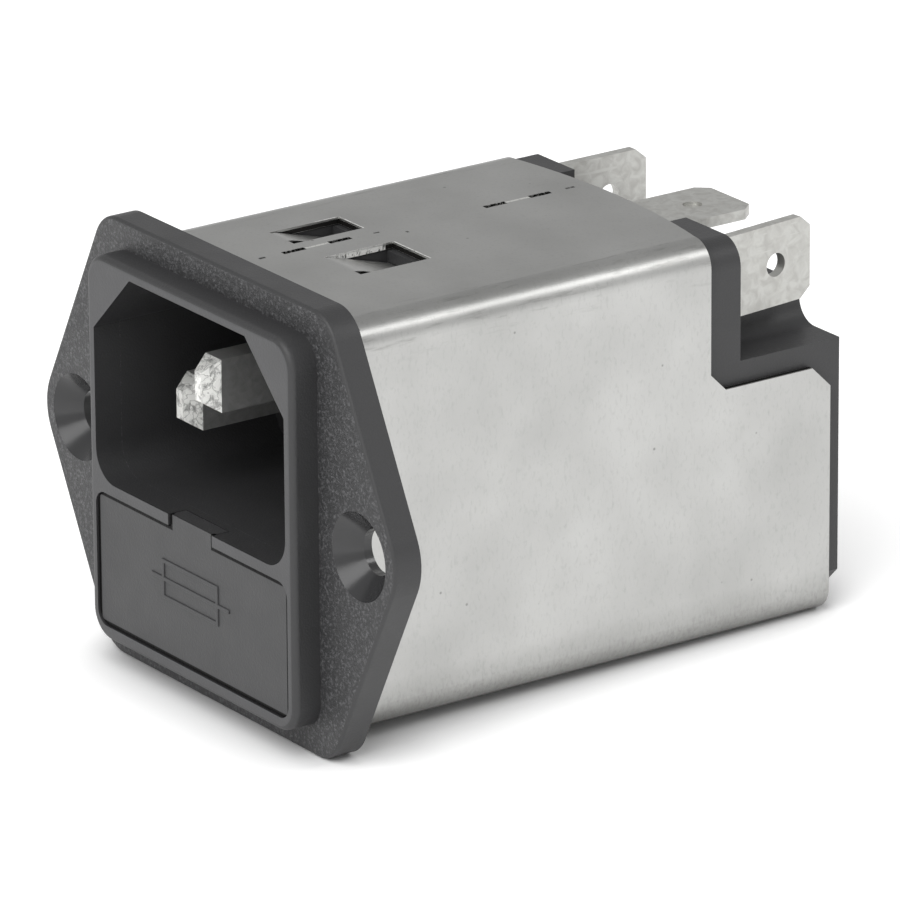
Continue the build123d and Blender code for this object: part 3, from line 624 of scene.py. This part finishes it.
def toroid_winding_tree():
    """Wire that winds round a ring core: one curve whose points turn about the core as they go along it."""
    tree, given, identifiers = geometry_tree("toroid_winding", {
        "Float": ("Turns", "Start", "Spread", "Ring Radius", "Half Width", "Half Height", "Wire Radius",
                  "Leg"),
        "Vector": ("Centre",), "Material": ("Enamel",)})
    line = add_node(tree, "GeometryNodeCurvePrimitiveLine", {"End": (0, 0, 1)}).outputs["Curve"]
    count = 6 * 48 + 1  # 48 steps for each of six turns
    points = add_node(tree, "GeometryNodeResampleCurve", {"Curve": line, "Count": count}).outputs["Curve"]
    along = add_node(tree, "GeometryNodeSplineParameter").outputs["Factor"]
    round_ring = maths(tree, "MULTIPLY_ADD", along, given["Spread"], given["Start"])
    full_turns = product(tree, given["Turns"], 2 * math.pi)
    round_wire = maths(tree, "MULTIPLY_ADD", along, full_turns, -math.pi / 2)
    # The low power squares the circle up, so that the wire follows the flat sides of the core.
    squareness = 0.25
    sides = []
    for wave, half in (("COSINE", "Half Width"), ("SINE", "Half Height")):
        value = maths(tree, wave, round_wire)
        size = maths(tree, "POWER", maths(tree, "ABSOLUTE", value), squareness)
        sign = maths(tree, "SIGN", value)
        size = product(tree, size, sign)
        sides.append(product(tree, size, given[half]))
    reach = maths(tree, "ADD", sides[0], given["Ring Radius"])
    flat = []
    for wave in ("COSINE", "SINE"):
        value = maths(tree, wave, round_ring)
        flat.append(product(tree, value, reach))
    spot = add_node(tree, "ShaderNodeCombineXYZ", {"X": flat[0], "Y": flat[1], "Z": sides[1]})
    spot = vectors(tree, "ADD", spot.outputs["Vector"], given["Centre"])
    wound = add_node(tree, "GeometryNodeSetPosition", {
        "Geometry": points, "Position": spot}).outputs["Geometry"]
    section = add_node(tree, "GeometryNodeCurvePrimitiveCircle", {
        "Resolution": 10, "Radius": given["Wire Radius"]}).outputs["Curve"]
    wire = add_node(tree, "GeometryNodeCurveToMesh", {
        "Curve": wound, "Profile Curve": section, "Fill Caps": True}).outputs["Mesh"]
    foot = add_node(tree, "ShaderNodeCombineXYZ", {"Z": given["Leg"]}).outputs["Vector"]
    stub = add_node(tree, "GeometryNodeCurvePrimitiveLine", {"End": foot}).outputs["Curve"]
    stub = add_node(tree, "GeometryNodeCurveToMesh", {
        "Curve": stub, "Profile Curve": section, "Fill Caps": True}).outputs["Mesh"]
    ends = add_node(tree, "GeometryNodeCurveEndpointSelection").outputs["Selection"]
    legs = add_node(tree, "GeometryNodeInstanceOnPoints", {
        "Points": wound, "Selection": ends, "Instance": stub}).outputs["Instances"]
    joined = add_node(tree, "GeometryNodeJoinGeometry")
    tree.links.new(legs, joined.inputs["Geometry"])
    tree.links.new(wire, joined.inputs["Geometry"])
    finish_tree(tree, joined.outputs["Geometry"], given["Enamel"])
    return tree, identifiers


def solder_tree():
    """Solder that has run up each leg: a hollow-sided cone on every point, turned by its direction."""
    tree, given, identifiers = geometry_tree("solder_fillets", {
        "Float": ("Pad Radius", "Tip Radius", "Height"), "Material": ("Solder",)})
    cone = add_node(tree, "GeometryNodeMeshCone", {
        "Vertices": 20, "Side Segments": 5, "Radius Top": given["Tip Radius"],
        "Radius Bottom": given["Pad Radius"], "Depth": given["Height"]}).outputs["Mesh"]
    spot = add_node(tree, "GeometryNodeInputPosition").outputs["Position"]
    upwards = split(tree, spot)["Z"]
    share = maths(tree, "DIVIDE", upwards, given["Height"])
    rest = maths(tree, "SUBTRACT", 1.0, share)
    hollow = product(tree, share, rest)
    narrow = maths(tree, "MULTIPLY_ADD", hollow, -1.3, 1.0)
    scale = add_node(tree, "ShaderNodeCombineXYZ", {"X": narrow, "Y": narrow, "Z": 1.0}).outputs["Vector"]
    drawn = vectors(tree, "MULTIPLY", spot, scale)
    fillet = add_node(tree, "GeometryNodeSetPosition", {
        "Geometry": cone, "Position": drawn}).outputs["Geometry"]
    facing = add_node(tree, "GeometryNodeInputNamedAttribute", {"Name": "facing"}, data_type="FLOAT_VECTOR")
    turn = add_node(tree, "FunctionNodeAlignRotationToVector", {
        "Vector": facing.outputs["Attribute"]}, axis="Z").outputs["Rotation"]
    placed = add_node(tree, "GeometryNodeInstanceOnPoints", {
        "Points": given["Geometry"], "Instance": fillet, "Rotation": turn}).outputs["Instances"]
    finish_tree(tree, placed, given["Solder"])
    return tree, identifiers


def raised_cells(x_cuts, z_cuts, filled, y_back, y_front):
    """Closed mesh of the filled cells of an upright grid, raised towards the front."""
    mesh = bmesh.new()
    grid = {}
    for i, j in filled:
        corners = ((i, j), (i + 1, j), (i + 1, j + 1), (i, j + 1))
        for corner in corners:
            if corner not in grid:
                grid[corner] = mesh.verts.new((x_cuts[corner[0]], y_front, z_cuts[corner[1]]))
        mesh.faces.new([grid[corner] for corner in corners])
    made = bmesh.ops.extrude_face_region(mesh, geom=mesh.faces[:])
    moved = [item for item in made["geom"] if isinstance(item, bmesh.types.BMVert)]
    bmesh.ops.translate(mesh, vec=(0, y_back - y_front, 0), verts=moved)
    bmesh.ops.recalc_face_normals(mesh, faces=mesh.faces[:])
    return mesh


class POWERENTRY_OT_mouldings(bpy.types.Operator):
    """Finish the front moulding and the rear insulator"""
    bl_idname = "power_entry.mouldings"
    bl_label = "Black Mouldings"

    def execute(self, context):
        tones = context.scene.power_entry_plastic
        face = -tones.flange_thickness
        holes = [(Vector((side * tones.hole_place, 0.0, 0.0)), tones.countersink, face + ON_PLANE)
                 for side in (-1, 1)]
        dress(moulded_polyamide("moulded_polyamide_eroded", tones, tones.moulding, face,
                                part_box("front_housing")[0].y, holes), "front_housing")
        dress(moulded_polyamide("moulded_polyamide", tones, tones.moulding), "rear_insulator")
        return {"FINISHED"}


class POWERENTRY_OT_drawer(bpy.types.Operator):
    """Finish the fuse drawer and raise the fuse sign on its plate"""
    bl_idname = "power_entry.drawer"
    bl_label = "Fuse Drawer"

    def execute(self, context):
        tones = context.scene.power_entry_plastic
        sign = context.scene.power_entry_sign
        low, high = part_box("fuse_drawer")
        plate_front = low.y
        # The box of the pull tab reaches past its top, so the top edge gets no painted shade.
        half_tab = sign.pull_tab / 2
        plates = ((low, Vector((high.x, high.y, low.z + sign.plate_height))),
                  (Vector((-half_tab, low.y, low.z)), Vector((half_tab, high.y, high.z + 1 * MM))))
        plastic = moulded_polyamide("moulded_polyamide_drawer", tones, tones.drawer, plates=plates)
        dress(plastic, "fuse_drawer")
        centre = (sign.low + sign.high) / 2
        half = sign.bar / 2
        x_cuts = [sign.line_left, sign.left, sign.left + sign.bar,
                  sign.right - sign.bar, sign.right, sign.line_right]
        z_cuts = [sign.low, sign.low + sign.bar, centre - half, centre + half,
                  sign.high - sign.bar, sign.high]
        ring = [(i, j) for i in (1, 2, 3) for j in range(5) if i != 2 or j in (0, 4)]
        line = [(i, 2) for i in (0, 2, 4)]
        mesh = raised_cells(x_cuts, z_cuts, ring + line, plate_front + sign.rise, plate_front - sign.rise)
        edges = [edge for edge in mesh.edges if all(vert.co.y < plate_front for vert in edge.verts)]
        # Only the sharp edges are rounded: those whose faces turn by more than a radian.
        edges = [edge for edge in edges if abs(edge.calc_face_angle(0)) > 1]
        bmesh.ops.bevel(mesh, geom=edges, offset=sign.rise / 2, segments=2, affect="EDGES", profile=0.5)
        data = bpy.data.meshes.new("fuse_sign")
        mesh.to_mesh(data)
        mesh.free()
        mesh_object("fuse_sign", data, "fuse_drawer", plastic)
        return {"FINISHED"}


class POWERENTRY_OT_shield(bpy.types.Operator):
    """Finish the folded can and the earth strap inside it"""
    bl_idname = "power_entry.shield"
    bl_label = "Shield Can"

    def execute(self, context):
        metal = context.scene.power_entry_metal
        low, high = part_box("shield_can")
        seam, end = metal.seam, metal.window_end
        slot, bridge, seam_dark_mark, wall, glint = "#141413", "#e8e8e4", "#4a4a48", "#f2f2f0", "#fafaf8"
        marks = []
        # Painted shade and highlight at each lock of the seam: its two slots are painted near black for the
        # dark inside them, and the bridge between them near white where it catches the light.
        for lock in (metal.front_lock, metal.rear_lock):
            marks.append((bridge, seam, lock, 0.13 * MM, 1.05 * MM))
            for place in (lock - metal.lock_slot, lock + metal.lock_slot):
                marks.append((slot, seam, place, 0.26 * MM, 0.95 * MM))
        # Small dark marks along the seam.
        for off, place, half_x, half_y in ((0.0, 4.05, 0.16, 0.28), (0.0, 31.2, 0.14, 0.4),
                                           (0.15, 13.9, 0.1, 0.25), (1.3, 15.8, 0.15, 0.12)):
            marks.append((seam_dark_mark, seam + off * MM, place * MM, half_x * MM, half_y * MM))
        # Painted highlights: the burnished wall of the right window, the left edge of the left window and the
        # far edges of both windows are painted near white where they catch the light.
        marks.append((wall, metal.window_wall, 10.4 * MM, 0.03 * MM, 2.65 * MM))
        marks.append((glint, -7.58 * MM, 12.6 * MM, 0.05 * MM, 1.0 * MM))
        marks.append((glint, -5.95 * MM, end, 1.55 * MM, 0.06 * MM))
        marks.append((glint, 1.72 * MM, end, 2.32 * MM, 0.06 * MM))
        dress(rolled_tin("electro_tinned_steel", metal, metal.tin, metal.tin_dull,
                         (low, high, metal.bend), marks), "shield_can")
        dress(rolled_tin("tinned_copper_strip", metal, metal.tin_dull, metal.tin), "earth_strap")
        return {"FINISHED"}


class POWERENTRY_OT_pins(bpy.types.Operator):
    """Finish the three blade pins of the inlet"""
    bl_idname = "power_entry.pins"
    bl_label = "Blade Pins"

    def execute(self, context):
        metal = context.scene.power_entry_metal
        dress(lit_and_shaded_nickel("nickel_plated_brass", metal.pin_lit_face, metal.pin_shaded_side),
              "line_pin", "neutral_pin", "earth_pin")
        return {"FINISHED"}


class POWERENTRY_OT_tabs(bpy.types.Operator):
    """Finish the three quick-connect tabs"""
    bl_idname = "power_entry.tabs"
    bl_label = "Quick-Connect Tabs"

    def execute(self, context):
        metal = context.scene.power_entry_metal
        dress(stamped_metal("tin_plated_brass", metal.tab_tin, linear("#b6b5b1"), 0.42, 0.9 * MM, 0.75, 0.02),
              "line_tab", "neutral_tab", "earth_tab")
        return {"FINISHED"}


class POWERENTRY_OT_fuses(bpy.types.Operator):
    """Finish the two cartridge fuses"""
    bl_idname = "power_entry.fuses"
    bl_label = "Cartridge Fuses"

    def execute(self, context):
        glass = clear_glass("drawn_glass")
        caps = stamped_metal("pressed_nickel_cap", linear("#cccbc8"), linear("#b0aca4"), 0.24, 0.6 * MM)
        wire = stamped_metal("tinned_fuse_wire", linear("#d9d7d2"), linear("#b9b6b0"), 0.3, 0.3 * MM)
        for side in ("line", "neutral"):
            dress(glass, side + "_fuse_tube")
            dress(caps, side + "_fuse_caps")
            dress(wire, side + "_fuse_wire")
        return {"FINISHED"}


class POWERENTRY_OT_contacts(bpy.types.Operator):
    """Finish the four spring contacts of the fuses"""
    bl_idname = "power_entry.contacts"
    bl_label = "Fuse Contacts"

    def execute(self, context):
        bronze = stamped_metal("rolled_phosphor_bronze", linear("#c99a6b"), linear("#a87a50"), 0.3, 0.8 * MM)
        dress(bronze, *FUSE_CLIPS)
        return {"FINISHED"}


class POWERENTRY_OT_board(bpy.types.Operator):
    """Finish the filter board and solder the legs that come through it"""
    bl_idname = "power_entry.board"
    bl_label = "Filter Board"

    def execute(self, context):
        dress(pressed_laminate("glass_epoxy_laminate"), "filter_board")
        low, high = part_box("filter_board")
        up, down = (0.0, 0.0, 1.0), (0.0, 0.0, -1.0)
        joints = [(middle(name).x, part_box(name)[1].y, high.z, up) for name in FUSE_CLIPS]
        # Two leads each, with half their pitch, soldered on the side of the board away from the part.
        for name, half_pitch, level, facing in (
                ("line_y_capacitor", 2.5 * MM, high.z, up), ("neutral_y_capacitor", 2.5 * MM, high.z, up),
                ("discharge_resistor", 4.7 * MM, low.z, down)):
            spot = middle(name)
            joints += [(spot.x + side * half_pitch, spot.y, level, facing) for side in (-1, 1)]
        points = bpy.data.meshes.new("solder_points")
        points.from_pydata([joint[:3] for joint in joints], [], [])
        directions = points.attributes.new("facing", "FLOAT_VECTOR", "POINT")
        for item, joint in zip(directions.data, joints):
            item.vector = joint[3]
        solder = stamped_metal("flowed_tin_solder", linear("#d4d4d2"), linear("#bdbdbb"), 0.26, 0.6 * MM)
        tree, identifiers = solder_tree()
        mesh = run_tree("solder_joints", tree, identifiers, {
            "Pad Radius": 0.8 * MM, "Tip Radius": 0.22 * MM, "Height": 0.7 * MM, "Solder": solder}, points)
        mesh_object("solder_joints", mesh, "housing", solder)
        return {"FINISHED"}


class POWERENTRY_OT_choke(bpy.types.Operator):
    """Finish the ferrite core and wind its two coils turn by turn"""
    bl_idname = "power_entry.choke"
    bl_label = "Wound Choke"

    def execute(self, context):
        choke = context.scene.power_entry_choke
        dress(speckled_solid(
            "sintered_ferrite", linear("#3a3a3c"), linear("#57575a"), 0.3 * MM, 0.55), "choke_core")
        enamel = speckled_solid(
            "enamelled_copper", linear("#9c4a1e"), linear("#b5622c"), 0.5 * MM, 0.28, coat=0.6)
        low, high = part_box("choke_core")
        centre = (low + high) / 2
        outer = (high.x - low.x) / 2
        gap = choke.wire / 2 + choke.clearance
        tree, identifiers = toroid_winding_tree()
        for name, middle_angle in (("line_winding", 0.0), ("neutral_winding", math.pi)):
            drop = centre.z - (high.z - low.z) / 2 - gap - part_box("filter_board")[1].z
            mesh = run_tree(name + "_turns", tree, identifiers, {
                "Turns": float(choke.turns), "Start": middle_angle - choke.spread / 2, "Spread": choke.spread,
                "Ring Radius": (outer + choke.bore) / 2, "Half Width": (outer - choke.bore) / 2 + gap,
                "Half Height": (high.z - low.z) / 2 + gap, "Wire Radius": choke.wire / 2,
                "Leg": -drop, "Centre": centre, "Enamel": enamel}, bpy.data.meshes.new("winding_start"))
            piece = mesh_object(name + "_turns", mesh, "housing", enamel)
            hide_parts(name)
        return {"FINISHED"}


class POWERENTRY_OT_components(bpy.types.Operator):
    """Finish the capacitors and the discharge resistor"""
    bl_idname = "power_entry.components"
    bl_label = "Filter Components"

    def execute(self, context):
        dress(speckled_solid(
            "moulded_capacitor_box", linear("#c9a52e"), linear("#b8942a"), 0.4 * MM, 0.42), "x_capacitor")
        dress(speckled_solid("dipped_epoxy", linear("#2b5f9e"), linear("#3b73b4"), 0.6 * MM, 0.3, coat=0.4),
              "line_y_capacitor", "neutral_y_capacitor")
        name, body_length = "discharge_resistor", 7 * MM
        dress(banded_lacquer("lacquered_resistor", middle(name), body_length), name)
        return {"FINISHED"}


class POWERENTRY_OT_studio(bpy.types.Operator):
    """Set up the floor, the backdrop, the lamps and the camera"""
    bl_idname = "power_entry.studio"
    bl_label = "Studio"

    def execute(self, context):
        studio = context.scene.power_entry_studio
        scene = context.scene
        scene.view_settings.view_transform = "Standard"

        floor_mesh = bpy.data.meshes.new("studio_floor")
        reach = 4.0
        corners = [(x, y, studio.floor_front + studio.floor_slope * y)
                   for x, y in ((-reach, -reach), (reach, -reach), (reach, reach), (-reach, reach))]
        floor_mesh.from_pydata(corners, [], [(0, 1, 2, 3)])
        floor = bpy.data.objects.new("studio_floor", floor_mesh)
        scene.collection.objects.link(floor)
        floor_mesh.materials.append(studio_floor("white_paper", studio.lift))

        world = bpy.data.worlds.new("studio_backdrop")
        scene.world = world
        world.use_nodes = True
        tree = world.node_tree
        tree.nodes.clear()
        parts = split(tree, add_node(tree, "ShaderNodeTexCoord").outputs["Generated"])
        # What the metal mirrors: pale near the floor, greyer overhead and pale again at the right.
        shade = ramp(tree, parts["Z"], 0.08, 0.4, studio.horizon, studio.backdrop, interpolation="SMOOTHSTEP")
        right_side = ramp(tree, parts["X"], 0.35, 0.75, 0.0, studio.right_side)
        shade = maths(tree, "MAXIMUM", shade, right_side)
        camera_ray, direct = direct_rays(tree)
        strength = between(tree, direct, studio.fill, shade)
        # Seen straight on, the backdrop is plain white.
        strength = between(tree, camera_ray, strength, 1.0)
        light = add_node(tree, "ShaderNodeBackground", {
            "Color": (1.0, 1.0, 1.0, 1.0), "Strength": strength}).outputs["Background"]
        add_node(tree, "ShaderNodeOutputWorld", {"Surface": light})

        centre = Vector((0.0, 0.02, 0.0))
        # Each lamp's name, direction from the middle of the module, width in metres and power.
        lamps = (("key_lamp", Vector((0.3, -0.65, 0.8)), 0.7, studio.key),
                 ("strip_lamp", Vector((0.504, 0.54, 0.674)), 0.22, studio.strip))
        for name, direction, size, power in lamps:
            lamp = bpy.data.lights.new(name, "AREA")
            lamp.shape = "DISK"
            lamp.size = size
            lamp.energy = power
            holder = bpy.data.objects.new(name, lamp)
            scene.collection.objects.link(holder)
            holder.location = centre + direction.normalized() * studio.lamp_distance
            holder.rotation_mode = "QUATERNION"
            holder.rotation_quaternion = direction.to_track_quat("Z", "Y")
            holder.visible_camera = False

        azimuth, elevation, roll = studio.azimuth, studio.elevation, studio.roll
        back = Vector((math.sin(azimuth) * math.cos(elevation), -math.cos(azimuth) * math.cos(elevation),
                       math.sin(elevation)))
        right = Vector((math.cos(azimuth), math.sin(azimuth), 0.0))
        up = back.cross(right)
        turned_right = math.cos(roll) * right + math.sin(roll) * up
        turned_up = back.cross(turned_right)
        aim = Vector((7.989, 12.584, 1.870)) * MM
        lens = bpy.data.cameras.new("studio_camera")
        lens.lens = studio.lens
        lens.sensor_width = 36.0
        lens.clip_start = 0.01
        lens.clip_end = 20.0
        camera = bpy.data.objects.new("studio_camera", lens)
        scene.collection.objects.link(camera)
        turn = Matrix((turned_right, turned_up, back)).transposed()
        camera.matrix_world = Matrix.Translation(aim + back * studio.distance) @ turn.to_4x4()
        scene.camera = camera
        return {"FINISHED"}


OPERATORS = (
    POWERENTRY_OT_mouldings,
    POWERENTRY_OT_drawer,
    POWERENTRY_OT_shield,
    POWERENTRY_OT_pins,
    POWERENTRY_OT_tabs,
    POWERENTRY_OT_fuses,
    POWERENTRY_OT_contacts,
    POWERENTRY_OT_board,
    POWERENTRY_OT_choke,
    POWERENTRY_OT_components,
    POWERENTRY_OT_studio,
)


class POWERENTRY_PT_panel(bpy.types.Panel):
    """Lists the settings and the operators of the power entry module"""
    bl_idname = "POWERENTRY_PT_panel"
    bl_label = "Power Entry Module"
    bl_space_type = "VIEW_3D"
    bl_region_type = "UI"
    bl_category = "Power Entry"

    def draw(self, context):
        for group in PROPERTY_GROUPS:
            box = self.layout.box()
            settings = getattr(context.scene, group)
            for name in settings.bl_rna.properties.keys():
                if name not in ("rna_type", "name"):
                    box.prop(settings, name)
        for operator in OPERATORS:
            self.layout.operator(operator.bl_idname)


def register():
    for group, kind in PROPERTY_GROUPS.items():
        bpy.utils.register_class(kind)
        setattr(bpy.types.Scene, group, bpy.props.PointerProperty(type=kind))
    for operator in OPERATORS:
        bpy.utils.register_class(operator)
    bpy.utils.register_class(POWERENTRY_PT_panel)


def unregister():
    bpy.utils.unregister_class(POWERENTRY_PT_panel)
    for operator in reversed(OPERATORS):
        bpy.utils.unregister_class(operator)
    for group, kind in PROPERTY_GROUPS.items():
        delattr(bpy.types.Scene, group)
        bpy.utils.unregister_class(kind)


def main():
    """Registers the add-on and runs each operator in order."""
    register()
    bpy.ops.power_entry.mouldings()
    bpy.ops.power_entry.drawer()
    bpy.ops.power_entry.shield()
    bpy.ops.power_entry.pins()
    bpy.ops.power_entry.tabs()
    bpy.ops.power_entry.fuses()
    bpy.ops.power_entry.contacts()
    bpy.ops.power_entry.board()
    bpy.ops.power_entry.choke()
    bpy.ops.power_entry.components()
    bpy.ops.power_entry.studio()


if __name__ == "__main__":
    main()
